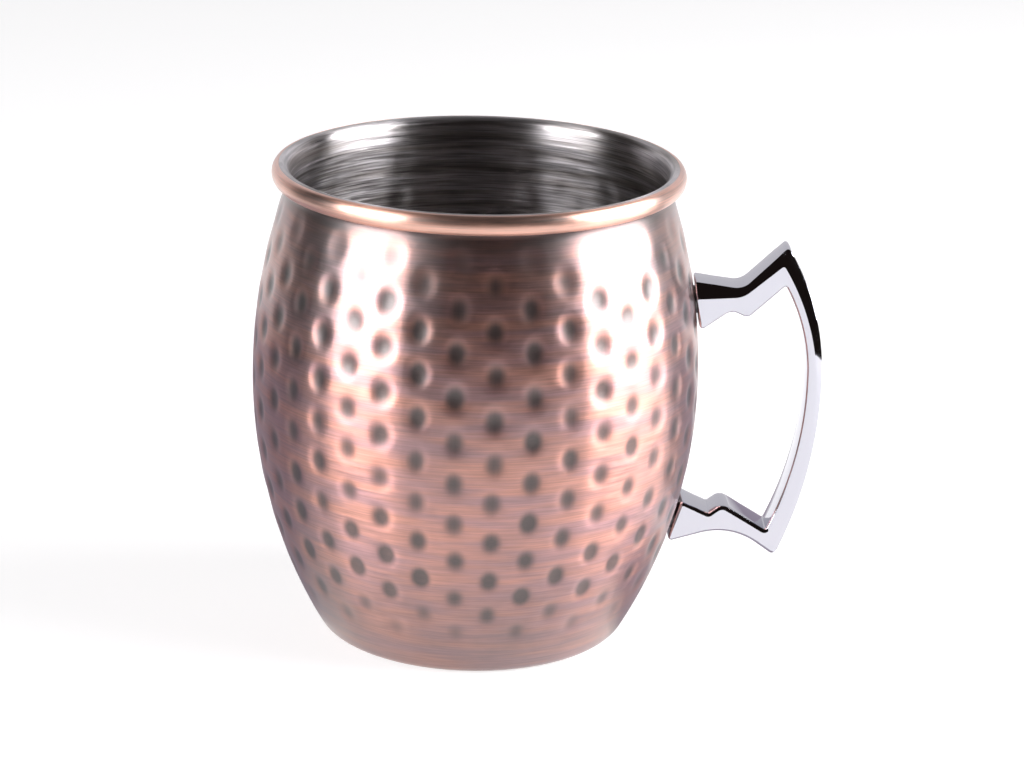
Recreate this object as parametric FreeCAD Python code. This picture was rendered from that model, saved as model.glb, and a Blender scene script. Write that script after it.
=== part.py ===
"""Barrel-shaped drinking mug with a rolled rim and a cast handle.

A drawn stainless steel cup carries a plated copper coat on its outside and on the outer half of its rim.
The cast handle stands just off the wall on two steel pins, which are cast into its feet and welded to the cup.

Frame: origin at the centre of the foot ring, +Z up along the cup's axis, handle towards +X. Units: mm.
"""
import math
import os

from FreeCAD import Vector
import Part

# Cup: driving dimensions of the outside of the plated wall
HEIGHT = 100.0              # table to the top of the rolled rim
RIM_RADIUS = 42.5           # outermost radius of the rolled rim
NECK_RADIUS = 39.7          # the short upright neck under the rim
BELLY_RADIUS = 46.5         # widest radius of the barrel
BELLY_Z = 54.3              # height of the widest point
LOWER_BOW = 107.0           # radius of the arc from the foot to the belly
UPPER_BOW = 123.0           # radius of the arc from the belly to the neck
NECK_BEND = 4.0             # bend from the upper arc into the neck
FOOT_CORNER = 3.5           # bend from the foot ring into the wall
RECESS_RADIUS = 26.0        # inner edge of the foot ring
RECESS_DEPTH = 1.5          # the bottom panel stands this far off the table
RECESS_SLOPE = 2.0          # width of the sloping step into the recess

# Sheet
COAT = 0.2                  # copper, drawn thicker than real plating so that it is a solid
STEEL = 0.6                 # stainless steel sheet

# Rolled rim: an oval curl of the steel. Its angles run from the top of the curl, outwards and round.
CURL_HALF_WIDTH = 1.7
CURL_HALF_HEIGHT = 2.0
COPPER_EDGE = math.radians(15)    # the coat ends here, on the crown of the curl
CURL_END = math.radians(212)      # the sheet's cut edge, tucked in against the neck
CURL_START = math.radians(-90)    # the neck runs up into the curl here

# Handle, a flat casting: outline in the XZ plane
HANDLE_WIDTH = 8.6          # across the handle, along Y
GRIP_OUT_X = 72.1           # furthest point of the grip's back
GRIP_OUT_Z = 56.0
GRIP_OUT_UPPER = 52.0       # bow radii of the grip's back, above and below that point
GRIP_OUT_LOWER = 112.0
GRIP_IN_X = 69.0            # furthest point of the grip's finger side
GRIP_IN_Z = 55.0
GRIP_IN_UPPER = 43.5
GRIP_IN_LOWER = 82.0
PEAK_Z = 82.6               # heights where the grip's four bows end
TAIL_Z = 17.9
ARCH_Z = 75.6
CROTCH_Z = 22.6
BACK_EDGE = 1.2             # rounding of the side edges along the top and the grip's back
FOOT_GAP = 0.4              # air between a foot of the casting and the wall

# The arms' outlines, from the wall outwards. They start inside the cup, whose shape then trims them.
TOP_ROOT = (40.0, 77.0)
TOP_DIP_START = (52.0, 75.45)
TOP_DIP = (54.9, 75.45)
TOP_DIP_END = (57.4, 77.0)
TOP_PEAK = (63.3, 83.2)
TOP_TIP = (64.2, 83.35)
ARCH = [(40.0, 62.0), (46.1, 66.0), (50.4, 69.2), (52.7, 70.0), (55.9, 69.4), (60.2, 72.8)]
SADDLE_ROOT = (40.0, 30.0)
SADDLE_NOTCH = (49.7, 25.8)
SADDLE = [(51.2, 26.7), (53.2, 27.0), (57.4, 25.1)]
TAIL_TIP = (63.3, 16.9)
UNDERSIDE = [(61.9, 17.6), (57.1, 20.6), (51.0, 21.7), (45.3, 20.5), (38.0, 18.5)]

# Weld pins, one in each foot, and the ring of weld round each in the foot gap
PIN_RADIUS = 1.75
PIN_DEPTH = 5.0             # length of pin inside the casting
WELD_RADIUS = 2.9
UPPER_PIN_Z = 71.6
LOWER_PIN_Z = 23.9

SHEET = COAT + STEEL
CURL_X = RIM_RADIUS - COAT - CURL_HALF_WIDTH
CURL_Z = HEIGHT - (CURL_HALF_HEIGHT + COAT) * math.cos(COPPER_EDGE)    # the coat's edge is the highest place
TOUCH = 1e-4                # two edges closer than this are on each other


def at(x, z):
    """A point of the XZ plane."""
    return Vector(x, 0, z)


def line(start, end):
    """A straight edge between two (x, z) points."""
    return Part.LineSegment(at(*start), at(*end)).toShape()


def arc(start, middle, end):
    """A circular edge through three (x, z) points."""
    return Part.Arc(at(*start), at(*middle), at(*end)).toShape()


def curve(points):
    """A smooth edge through (x, z) points."""
    spline = Part.BSplineCurve()
    spline.interpolate([at(*point) for point in points])
    return spline.toShape()


def on_circle(centre, radius, angle):
    """The (x, z) point at an angle on a circle."""
    return centre[0] + radius * math.cos(angle), centre[1] + radius * math.sin(angle)


def bow(centre, radius, start, end):
    """The circular edge about a centre between two angles."""
    middle = (start + end) / 2
    return arc(*[on_circle(centre, radius, angle) for angle in (start, middle, end)])


def on_curl(grow, angle):
    """The (x, z) point at an angle on the rim's oval, grown outwards."""
    across = (CURL_HALF_WIDTH + grow) * math.sin(angle)
    return CURL_X + across, CURL_Z + (CURL_HALF_HEIGHT + grow) * math.cos(angle)


def curl(grow, start, end):
    """The edge along the rim's oval, grown outwards, between two angles."""
    top = at(*on_curl(grow, 0))
    side = at(*on_curl(grow, math.pi / 2))
    oval = Part.Ellipse(top, side, at(CURL_X, CURL_Z))
    return Part.ArcOfEllipse(oval, start, end).toShape()


def solid_of(shape):
    """The one solid in a shape, with its faces outwards."""
    solid = shape.Solids[0]
    if solid.Volume < 0:
        solid.reverse()
    return solid


def turned(edges):
    """The solid that a closed outline in the XZ plane makes when it is turned about the cup's axis."""
    face = Part.Face(Part.Wire(Part.__sortEdges__(edges)))
    return solid_of(face.revolve(Vector(0, 0, 0), Vector(0, 0, 1), 360))


def wall(inset, top_z):
    """The edges of the cup's outside from the axis to the neck, moved inwards by the inset.

    The bends' centres stay where they are, so that walls of different insets are parallel.
    """
    lower = (BELLY_RADIUS - LOWER_BOW, BELLY_Z)
    upper = (BELLY_RADIUS - UPPER_BOW, BELLY_Z)
    corner_reach = math.sqrt((LOWER_BOW - FOOT_CORNER) ** 2 - (BELLY_Z - FOOT_CORNER) ** 2)
    corner = (lower[0] + corner_reach, FOOT_CORNER)
    neck_x = NECK_RADIUS + NECK_BEND
    neck_rise = math.sqrt((UPPER_BOW + NECK_BEND) ** 2 - (neck_x - upper[0]) ** 2)
    neck = (neck_x, BELLY_Z + neck_rise)
    low = math.atan2(corner[1] - lower[1], corner[0] - lower[0])
    high = math.atan2(neck[1] - upper[1], neck[0] - upper[0])
    panel_edge = (RECESS_RADIUS - RECESS_SLOPE, RECESS_DEPTH + inset)
    ring_edge = (RECESS_RADIUS, inset)
    return [
        line((0, RECESS_DEPTH + inset), panel_edge),
        line(panel_edge, ring_edge),
        line(ring_edge, (corner[0], inset)),
        bow(corner, FOOT_CORNER - inset, -math.pi / 2, low),
        bow(lower, LOWER_BOW - inset, low, 0),
        bow(upper, UPPER_BOW - inset, 0, high),
        bow(neck, NECK_BEND + inset, math.pi + high, math.pi),
        line((NECK_RADIUS - inset, neck[1]), (NECK_RADIUS - inset, top_z)),
    ]


def make_steel_cup():
    """The drawn cup, its wall rolled outwards and round into the hollow curl of the rim."""
    outside = wall(COAT, CURL_Z)
    inside = wall(SHEET, CURL_Z)
    cut = line(on_curl(-STEEL, CURL_END), on_curl(0, CURL_END))
    axis = line((0, RECESS_DEPTH + COAT), (0, RECESS_DEPTH + SHEET))
    hollow = curl(-STEEL, CURL_START, CURL_END)
    crown = curl(0, CURL_START, CURL_END)
    return turned([*outside, hollow, cut, crown, *inside, axis])


def make_copper_skin():
    """The plated coat: the whole outside, over the seam under the rim and round to the rim's crown."""
    seam = on_curl(0, CURL_END)
    meet = math.pi + math.asin((CURL_X - NECK_RADIUS) / (CURL_HALF_WIDTH + COAT))
    outside = wall(0, on_curl(COAT, meet)[1])
    inside = wall(COAT, seam[1])
    bridge = line((NECK_RADIUS - COAT, seam[1]), seam)
    edge = line(on_curl(0, COPPER_EDGE), on_curl(COAT, COPPER_EDGE))
    axis = line((0, RECESS_DEPTH), (0, RECESS_DEPTH + COAT))
    over = curl(COAT, COPPER_EDGE, meet)
    under = curl(0, COPPER_EDGE, CURL_END)
    return turned([*outside, over, edge, under, bridge, *inside, axis])


def make_plug(gap):
    """The cup's outer shape as one solid block, larger by the gap, for trimming what meets the wall."""
    edges = wall(-gap, HEIGHT)
    top = line((NECK_RADIUS + gap, HEIGHT), (0, HEIGHT))
    axis = line((0, HEIGHT), (0, RECESS_DEPTH - gap))
    return turned([*edges, top, axis])


def grip_point(side_x, side_z, radius, z):
    """The (x, z) point at a height on a bow of the grip, whose furthest point is (side_x, side_z)."""
    return side_x - radius + math.sqrt(radius ** 2 - (z - side_z) ** 2), z


def grip_bow(side_x, side_z, radius, z):
    """The edge of a bow of the grip from its furthest point to a height."""
    middle = grip_point(side_x, side_z, radius, (side_z + z) / 2)
    return arc((side_x, side_z), middle, grip_point(side_x, side_z, radius, z))


def handle_outline():
    """The edges of the handle's outline: those whose side edges are rounded, then all the others."""
    peak = grip_point(GRIP_OUT_X, GRIP_OUT_Z, GRIP_OUT_UPPER, PEAK_Z)
    tail = grip_point(GRIP_OUT_X, GRIP_OUT_Z, GRIP_OUT_LOWER, TAIL_Z)
    arch = grip_point(GRIP_IN_X, GRIP_IN_Z, GRIP_IN_UPPER, ARCH_Z)
    crotch = grip_point(GRIP_IN_X, GRIP_IN_Z, GRIP_IN_LOWER, CROTCH_Z)
    soft = [
        line(TOP_ROOT, TOP_DIP_START),
        arc(TOP_DIP_START, TOP_DIP, TOP_DIP_END),
        line(TOP_DIP_END, TOP_PEAK),
        grip_bow(GRIP_OUT_X, GRIP_OUT_Z, GRIP_OUT_UPPER, PEAK_Z),
        grip_bow(GRIP_OUT_X, GRIP_OUT_Z, GRIP_OUT_LOWER, TAIL_Z),
    ]
    crisp = [
        arc(TOP_PEAK, TOP_TIP, peak),
        arc(tail, TAIL_TIP, UNDERSIDE[0]),
        curve(UNDERSIDE),
        line(UNDERSIDE[-1], SADDLE_ROOT),
        line(SADDLE_ROOT, SADDLE_NOTCH),
        curve([SADDLE_NOTCH, *SADDLE, crotch]),
        grip_bow(GRIP_IN_X, GRIP_IN_Z, GRIP_IN_LOWER, CROTCH_Z),
        grip_bow(GRIP_IN_X, GRIP_IN_Z, GRIP_IN_UPPER, ARCH_Z),
        curve([*ARCH, arch]),
        line(ARCH[0], TOP_ROOT),
    ]
    return soft, crisp


def rounded(block, guides):
    """The block with its side edges rounded where they run along the guide edges."""
    chosen = []
    for edge in block.Edges:
        middle = edge.valueAt((edge.FirstParameter + edge.LastParameter) / 2)
        shadow = Part.Vertex(middle.x, 0, middle.z)
        on_side = abs(abs(middle.y) - HANDLE_WIDTH / 2) < TOUCH
        if on_side and min(shadow.distToShape(guide)[0] for guide in guides) < TOUCH:
            chosen.append(edge)
    return block.makeFillet(BACK_EDGE, chosen)


def pin(centre_z, radius):
    """A round bar along X at a height, from the cup's axis to the depth of a pin in the casting."""
    wall_x = grip_point(BELLY_RADIUS, BELLY_Z, LOWER_BOW if centre_z < BELLY_Z else UPPER_BOW, centre_z)[0]
    return Part.makeCylinder(radius, wall_x + PIN_DEPTH, Vector(0, 0, centre_z), Vector(1, 0, 0))


def make_handle():
    """The casting: both feet follow the wall at the foot gap, and each has a hole for its pin."""
    soft, crisp = handle_outline()
    face = Part.Face(Part.Wire(Part.__sortEdges__([*soft, *crisp])))
    face.translate(Vector(0, -HANDLE_WIDTH / 2, 0))
    block = solid_of(face.extrude(Vector(0, HANDLE_WIDTH, 0)))
    block = rounded(block, soft).cut(make_plug(FOOT_GAP))
    for centre_z in (UPPER_PIN_Z, LOWER_PIN_Z):
        block = block.cut(pin(centre_z, PIN_RADIUS))
    return solid_of(block)


def make_weld_pin(centre_z):
    """A steel pin from the wall's surface into a foot of the casting."""
    return solid_of(pin(centre_z, PIN_RADIUS).cut(make_plug(0)))


def make_weld_bead(centre_z):
    """The ring of weld round a pin, filling the foot gap between the wall and the foot."""
    ring = pin(centre_z, WELD_RADIUS).common(make_plug(FOOT_GAP))
    return solid_of(ring.cut(make_plug(0)).cut(pin(centre_z, PIN_RADIUS)))


def main():
    """Writes one STEP file for each piece."""
    os.makedirs("parts", exist_ok=True)
    pieces = {
        "steel_cup": make_steel_cup(),
        "copper_skin": make_copper_skin(),
        "handle": make_handle(),
        "upper_weld_pin": make_weld_pin(UPPER_PIN_Z),
        "lower_weld_pin": make_weld_pin(LOWER_PIN_Z),
        "upper_weld_bead": make_weld_bead(UPPER_PIN_Z),
        "lower_weld_bead": make_weld_bead(LOWER_PIN_Z),
    }
    for name, solid in pieces.items():
        print(name, "valid", solid.isValid(), "volume", round(solid.Volume, 1), "mm3", solid.BoundBox)
        solid.exportStep("parts/" + name + ".step")


main()
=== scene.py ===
"""The visible form of a barrel-shaped, copper-plated mug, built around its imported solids.

The cup is two thin sheets turned about +Z, a steel one inside a copper one, and both are pressed with the
same dimples. The handle is a polished casting whose outline lies in the XZ plane. Sizes in the classes are
in millimetres unless they say metres, and become metres where a mesh is made.
"""

import logging
import math
from dataclasses import dataclass, replace
from enum import Enum

import bmesh
import bpy
from mathutils import Matrix, Vector
from mathutils.geometry import delaunay_2d_cdt, intersect_point_line

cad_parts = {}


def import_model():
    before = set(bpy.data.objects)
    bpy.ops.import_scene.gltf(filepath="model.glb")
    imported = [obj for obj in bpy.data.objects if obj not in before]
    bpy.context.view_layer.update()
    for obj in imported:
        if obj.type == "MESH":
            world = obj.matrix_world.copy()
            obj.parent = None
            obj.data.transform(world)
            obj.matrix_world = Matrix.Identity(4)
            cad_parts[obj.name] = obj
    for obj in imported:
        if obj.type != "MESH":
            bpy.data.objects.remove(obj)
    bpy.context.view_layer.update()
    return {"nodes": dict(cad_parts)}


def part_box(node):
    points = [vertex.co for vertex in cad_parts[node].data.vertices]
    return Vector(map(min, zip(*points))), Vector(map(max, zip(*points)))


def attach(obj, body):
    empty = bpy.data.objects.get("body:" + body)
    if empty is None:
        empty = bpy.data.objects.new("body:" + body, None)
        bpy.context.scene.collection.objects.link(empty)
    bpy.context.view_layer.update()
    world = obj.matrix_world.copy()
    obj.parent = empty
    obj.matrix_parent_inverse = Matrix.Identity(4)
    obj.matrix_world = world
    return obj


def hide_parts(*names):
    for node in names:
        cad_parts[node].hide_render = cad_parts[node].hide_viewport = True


LOG = logging.getLogger("mug")
MM = 0.001
BODY = "root"
WHITE = "#FFFFFF"
DARK = "#1C1614"
ON_AXIS = 1e-6

Point = tuple[float, float]
Colour = tuple[float, float, float, float]


def from_hex(code: str) -> Colour:
    """Turns an sRGB hex colour into the linear colour that a shader takes.

    Args:
        code: The colour as "#RRGGBB".

    Returns:
        Linear red, green and blue, and an alpha of 1.
    """
    channels = [int(code[place:place + 2], 16) / 255 for place in (1, 3, 5)]
    linear = [c / 12.92 if c <= 0.04045 else ((c + 0.055) / 1.055) ** 2.4 for c in channels]
    return linear[0], linear[1], linear[2], 1.0


def wire(tree: bpy.types.NodeTree, node: bpy.types.Node, inputs: dict | tuple) -> None:
    """Fills or links a node's inputs.

    Args:
        tree: The node's tree.
        node: The node.
        inputs: Values, nodes or output sockets, in order, or by the input's name or number.
    """
    for key, value in inputs.items() if isinstance(inputs, dict) else enumerate(inputs):
        if isinstance(value, bpy.types.Node):
            value = value.outputs[0]
        if isinstance(value, bpy.types.NodeSocket):
            tree.links.new(value, node.inputs[key])
        else:
            node.inputs[key].default_value = value


def add_node(tree: bpy.types.NodeTree, kind: str, inputs: dict | tuple = (), **settings) -> bpy.types.Node:
    """Adds a node to a tree, with its settings, and fills or links its inputs.

    Args:
        tree: The shader or geometry tree.
        kind: The node's type.
        inputs: Values, nodes or output sockets, in order, or by the input's name or number.
        **settings: Properties of the node itself.

    Returns:
        The new node.
    """
    node = tree.nodes.new(kind)
    for name, value in settings.items():
        setattr(node, name, value)
    wire(tree, node, inputs)
    return node


class Step(Enum):
    """A step in working out a value: the node that does it, and the setting that says what it does."""

    ADD = ("ShaderNodeMath", "operation", "ADD")
    SUBTRACT = ("ShaderNodeMath", "operation", "SUBTRACT")
    MULTIPLY = ("ShaderNodeMath", "operation", "MULTIPLY")
    DIVIDE = ("ShaderNodeMath", "operation", "DIVIDE")
    POWER = ("ShaderNodeMath", "operation", "POWER")
    SQRT = ("ShaderNodeMath", "operation", "SQRT")
    ROUND = ("ShaderNodeMath", "operation", "ROUND")
    MODULO = ("ShaderNodeMath", "operation", "FLOORED_MODULO")
    ARCTAN2 = ("ShaderNodeMath", "operation", "ARCTAN2")
    MINIMUM = ("ShaderNodeMath", "operation", "MINIMUM")
    MAXIMUM = ("ShaderNodeMath", "operation", "MAXIMUM")
    LESS = ("ShaderNodeMath", "operation", "LESS_THAN")
    GREATER = ("ShaderNodeMath", "operation", "GREATER_THAN")
    RAMP = ("ShaderNodeMapRange", "interpolation_type", "LINEAR")
    EASE = ("ShaderNodeMapRange", "interpolation_type", "SMOOTHSTEP")
    WHOLE = ("FunctionNodeFloatToInt", "rounding_mode", "ROUND")


def work_out(tree: bpy.types.NodeTree, known: dict[str, bpy.types.NodeSocket], rows: list[tuple]) -> None:
    """Works out named values one after another, each from the ones before it.

    Args:
        tree: The shader or geometry tree.
        known: The values so far, by name. Each row adds its own, or replaces the one of its name.
        rows: The value's name, its Step, and the step's inputs as numbers or names. A ramp's inputs are the
            value, the range it comes from and the range it becomes.
    """
    for name, step, *inputs in rows:
        kind, setting, choice = step.value
        values = tuple(known[value] if isinstance(value, str) else value for value in inputs)
        known[name] = add_node(tree, kind, values, **{setting: choice}).outputs[0]


# ---------------------------------------------------------------------------------------------- finishes


@dataclass(frozen=True)
class Finish:
    """A metal's surface. Each kind of surface adds its own nodes in build().

    Attributes:
        name: The material's name.
        base: The metal's colour, as sRGB hex.
        roughness: The usual roughness of the surface.
    """

    name: str
    base: str
    roughness: float

    def start(self) -> tuple[bpy.types.NodeTree, bpy.types.Node]:
        """Makes the material with a plain metal shader.

        Returns:
            The material's node tree and its shader.
        """
        material = bpy.data.materials.new(self.name)
        material.use_nodes = True
        material.diffuse_color = from_hex(self.base)
        tree = material.node_tree
        shader = tree.nodes["Principled BSDF"]
        wire(tree, shader, {"Base Color": from_hex(self.base), "Metallic": 1.0, "Roughness": self.roughness})
        return tree, shader

    def build(self) -> bpy.types.Material:
        """Makes the finished material."""
        self.start()
        return bpy.data.materials[self.name]

    @staticmethod
    def grain(tree: bpy.types.NodeTree, along: float, across: float,
              detail: float = 3.0) -> bpy.types.NodeSocket:
        """Adds noise that is drawn out level with the table, as brushing round a turned piece leaves it.

        Args:
            tree: The material's node tree.
            along: Length of a mark, in mm.
            across: Height of a mark, in mm.
            detail: Octaves of noise.

        Returns:
            The noise's output, from 0 to 1.
        """
        place = add_node(tree, "ShaderNodeTexCoord").outputs["Object"]
        scale = (1 / (along * MM), 1 / (along * MM), 1 / (across * MM))
        stretched = add_node(tree, "ShaderNodeMapping", {"Vector": place, "Scale": scale})
        settings = {"Vector": stretched, "Scale": 1.0, "Detail": detail, "Roughness": 0.6}
        return add_node(tree, "ShaderNodeTexNoise", settings).outputs[0]

    def tone(self, tree: bpy.types.NodeTree, layers: list[tuple[bpy.types.NodeSocket, str]],
             shade: bpy.types.NodeSocket | None = None) -> bpy.types.NodeSocket:
        """Lays other tones over the metal's own colour.

        Args:
            tree: The material's node tree.
            layers: Each tone's share of the surface, from 0 to 1, and its colour, as sRGB hex.
            shade: The value that all of it is multiplied by, where it isn't even.

        Returns:
            The finished colour.
        """
        colour = from_hex(self.base)
        covers = [(share, from_hex(code), "MIX") for share, code in layers]
        if shade:
            covers.append((1.0, shade, "MULTIPLY"))
        for share, cover, mode in covers:
            mixed = {0: share, 6: colour, 7: cover}
            colour = add_node(tree, "ShaderNodeMix", mixed, data_type="RGBA", blend_type=mode).outputs[2]
        return colour

    @staticmethod
    def brush(tree: bpy.types.NodeTree, shader: bpy.types.Node, amount: float) -> None:
        """Draws reflections out across the brushing, which runs round the cup's axis.

        Args:
            tree: The material's node tree.
            shader: The metal's shader.
            amount: The anisotropy, from 0 to 1.
        """
        around = add_node(tree, "ShaderNodeTangent", direction_type="RADIAL", axis="Z")
        wire(tree, shader, {"Tangent": around, "Anisotropic": amount, "Anisotropic Rotation": 0.25})


@dataclass(frozen=True)
class AntiqueCopper(Finish):
    """Copper plating, darkened all over, brushed bright on its high places and lacquered.

    The dark patina stays in the dimples, so the eye reads an old beaten surface. The same dark colour is also
    laid thinly under the rim, in a line just below the bead and towards the foot, as painted shade. The
    brushing goes round the cup, which draws each lamp's reflection into a tall soft band, and the lacquer
    whitens it.

    Attributes:
        dark: The darkened copper's colour, as sRGB hex, for the patina and for the painted shade.
        cool: The colour of places that were brushed less, as sRGB hex.
        bead: The colour of the rim's bead, which is polished clean, as sRGB hex.
        mark: Length and height of a brush mark, in mm, coarser than the real 0.1 mm so that it shows.
        smear: Length and height of a place that was brushed less, in mm.
        cloud: Length and height of a stained patch, in mm.
        foot_shade: Heights where the painted shade towards the foot starts to fade and where it is gone, in
            mm.
        neck_shade: Heights where the painted shade towards the neck starts and where it is full, in mm.
        seam_shade: The same for the painted shadow line under the bead.
        bead_start: Height where the bead starts, in mm.
        patina_and_shade_limit: The most that the patina and the painted shade may cover.
        anisotropy: How strongly the brushing draws reflections out.
        lacquer_ior: The lacquer's IOR, above the usual 1.5 so that its white reflection shows.
        lacquer_roughness: The lacquer's roughness.
    """

    dark: str
    cool: str
    bead: str
    mark: Point = (11.0, 0.32)
    smear: Point = (26.0, 3.0)
    cloud: Point = (14.0, 11.0)
    foot_shade: Point = (4.0, 40.0)
    neck_shade: Point = (70.0, 94.0)
    seam_shade: Point = (90.0, 95.0)
    bead_start: float = 98.0
    patina_and_shade_limit: float = 0.97
    anisotropy: float = 0.86
    lacquer_ior: float = 1.82
    lacquer_roughness: float = 0.34

    def build(self) -> bpy.types.Material:
        """Makes the finished material."""
        tree, shader = self.start()
        known = {
            "marks": self.grain(tree, *self.mark),
            "smears": self.grain(tree, *self.smear, 2.0),
            "clouds": self.grain(tree, *self.cloud),
        }
        for name in ("dimple", "gauge"):
            known[name] = add_node(tree, "ShaderNodeAttribute", attribute_name=name).outputs["Fac"]
        foot, neck, seam = [[height * MM for height in pair]
                            for pair in (self.foot_shade, self.neck_shade, self.seam_shade)]
        work_out(tree, known, [
            ("scuffs", Step.SUBTRACT, "marks", 0.5),
            ("scuffs", Step.MULTIPLY, "scuffs", 0.3),
            ("hollow", Step.ADD, "dimple", "scuffs"),
            ("hollow", Step.EASE, "hollow", 0.1, 0.98, 0.0, 0.95),
            # Painted shade: the copper is darkened towards the neck, up to the bead.
            ("neck", Step.EASE, "gauge", *neck, 0.0, 0.3),
            # Painted shadow: a dark line just under the bead, where the bead shades the wall.
            ("seam", Step.EASE, "gauge", *seam, 0.0, 0.8),
            ("neck", Step.MAXIMUM, "neck", "seam"),
            ("wall", Step.LESS, "gauge", self.bead_start * MM),
            ("neck", Step.MULTIPLY, "neck", "wall"),
            # Painted shade: the copper is darkened towards the foot.
            ("foot", Step.EASE, "gauge", *foot, 0.5, 0.0),
            ("ends", Step.ADD, "neck", "foot"),
            # Random stains, to which the painted shade of the neck and foot is added.
            ("stain", Step.EASE, "clouds", 0.4, 0.75, 0.0, 1.0),
            ("stain", Step.MULTIPLY, "stain", 0.16),
            ("stain", Step.ADD, "ends", "stain"),
            # The patina in the dimples, with the stains and the painted shade.
            ("dirt", Step.ADD, "hollow", "stain"),
            ("dirt", Step.MINIMUM, "dirt", self.patina_and_shade_limit),
            ("dull", Step.EASE, "smears", 0.3, 0.7, 0.0, 0.8),
            ("bead", Step.GREATER, "gauge", self.bead_start * MM),
            ("shade", Step.EASE, "marks", 0.25, 0.75, 0.76, 1.14),
            ("rough", Step.EASE, "marks", 0.2, 0.8, -0.05, 0.07),
            ("rough", Step.ADD, "rough", self.roughness),
            ("matt", Step.MULTIPLY, "dimple", 0.18),
            ("rough", Step.ADD, "rough", "matt"),
        ])
        layers = [(known["dull"], self.cool), (known["bead"], self.bead), (known["dirt"], self.dark)]
        relief = {"Height": known["marks"], "Strength": 0.25, "Distance": 0.04 * MM}
        wire(tree, shader, {
            "Base Color": self.tone(tree, layers, known["shade"]),
            "Roughness": known["rough"],
            "Normal": add_node(tree, "ShaderNodeBump", relief),
            "Coat Weight": 1.0,
            "Coat IOR": self.lacquer_ior,
            "Coat Roughness": self.lacquer_roughness,
        })
        self.brush(tree, shader, self.anisotropy)
        return bpy.data.materials[self.name]


@dataclass(frozen=True)
class BrushedStainless(Finish):
    """Stainless steel sheet, brushed round the axis as the drawn cup was spun: grey, streaky and half bright.

    Attributes:
        mark: Length and height of a brush mark, in mm, coarser than the real 0.1 mm so that it shows.
        anisotropy: How strongly the brushing draws reflections out.
        smear: Length and height of a place that was brushed less, in mm.
        warm: The colour of such a place, as sRGB hex.
    """

    mark: Point
    anisotropy: float
    smear: Point = (30.0, 2.0)
    warm: str = "#6C5E4A"

    def build(self) -> bpy.types.Material:
        """Makes the finished material."""
        tree, shader = self.start()
        known = {"marks": self.grain(tree, *self.mark), "smears": self.grain(tree, *self.smear, 2.0)}
        work_out(tree, known, [
            ("dull", Step.EASE, "smears", 0.3, 0.7, 0.0, 0.6),
            ("shade", Step.EASE, "marks", 0.25, 0.75, 0.5, 1.2),
            ("rough", Step.EASE, "marks", 0.2, 0.8, -0.06, 0.08),
            ("rough", Step.ADD, "rough", self.roughness),
        ])
        relief = {"Height": known["marks"], "Strength": 0.3, "Distance": 0.05 * MM}
        wire(tree, shader, {
            "Base Color": self.tone(tree, [(known["dull"], self.warm)], known["shade"]),
            "Roughness": known["rough"],
            "Normal": add_node(tree, "ShaderNodeBump", relief),
        })
        self.brush(tree, shader, self.anisotropy)
        return bpy.data.materials[self.name]


@dataclass(frozen=True)
class PolishedChrome(Finish):
    """Bright chrome plating on a polished zinc casting, which keeps the casting's slight waves.

    Attributes:
        wave: Width of a wave, in mm.
        wave_depth: Depth of a wave, in mm.
        haze: Width of a duller patch, in mm.
    """

    wave: float
    wave_depth: float
    haze: float = 3.0

    def build(self) -> bpy.types.Material:
        """Makes the finished material."""
        tree, shader = self.start()
        known = {"haze": self.grain(tree, self.haze, self.haze)}
        work_out(tree, known, [
            ("rough", Step.EASE, "haze", 0.35, 0.8, 0.0, 0.05),
            ("rough", Step.ADD, "rough", self.roughness),
        ])
        waves = self.grain(tree, self.wave, self.wave, 1.0)
        relief = {"Height": waves, "Strength": 1.0, "Distance": self.wave_depth * MM}
        wire(tree, shader, {"Roughness": known["rough"], "Normal": add_node(tree, "ShaderNodeBump", relief)})
        return bpy.data.materials[self.name]


@dataclass(frozen=True)
class WeldMetal(Finish):
    """Bare metal round a weld, dull and darkened in patches by the heat.

    Attributes:
        burnt: The darkest heat colour, as sRGB hex.
        patch: Width of a patch, in mm.
    """

    burnt: str
    patch: float = 0.8

    def build(self) -> bpy.types.Material:
        """Makes the finished material."""
        tree, shader = self.start()
        known = {"patches": self.grain(tree, self.patch, self.patch)}
        work_out(tree, known, [("burnt", Step.EASE, "patches", 0.35, 0.65, 0.0, 1.0)])
        relief = {"Height": known["patches"], "Strength": 0.6, "Distance": 0.15 * MM}
        wire(tree, shader, {
            "Base Color": self.tone(tree, [(known["burnt"], self.burnt)]),
            "Normal": add_node(tree, "ShaderNodeBump", relief),
        })
        return bpy.data.materials[self.name]


# ------------------------------------------------------------------------------------------ the cup's section


@dataclass(frozen=True)
class Station:
    """One ring of a turned sheet.

    Attributes:
        radius: The ring's radius.
        height: The ring's height.
        inward: The direction into the sheet's thickness, as radius and height.
        gauge: The height of the cup's outside at the same place, by which dimples are laid out.
    """

    radius: float
    height: float
    inward: Point
    gauge: float


@dataclass(frozen=True)
class Bow:
    """An arc of the cup's outside.

    Attributes:
        centre: The arc's centre.
        radius: The arc's radius.
        start: The angle where it starts.
        end: The angle where it ends.
        side: 1 where the centre is on the inner side of the sheet, -1 where it is outside.
    """

    centre: Point
    radius: float
    start: float
    end: float
    side: int

    @property
    def length(self) -> float:
        """The arc's length."""
        return self.radius * abs(self.end - self.start)

    def at(self, share: float, inset: float) -> Station:
        """The ring at a share of the way along, moved into the sheet by the inset."""
        angle = self.start + share * (self.end - self.start)
        out = (math.cos(angle), math.sin(angle))
        reach = self.radius - self.side * inset
        gauge = self.centre[1] + self.radius * out[1]
        place = (self.centre[0] + reach * out[0], self.centre[1] + reach * out[1])
        return Station(place[0], place[1], (-self.side * out[0], -self.side * out[1]), gauge)


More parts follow.
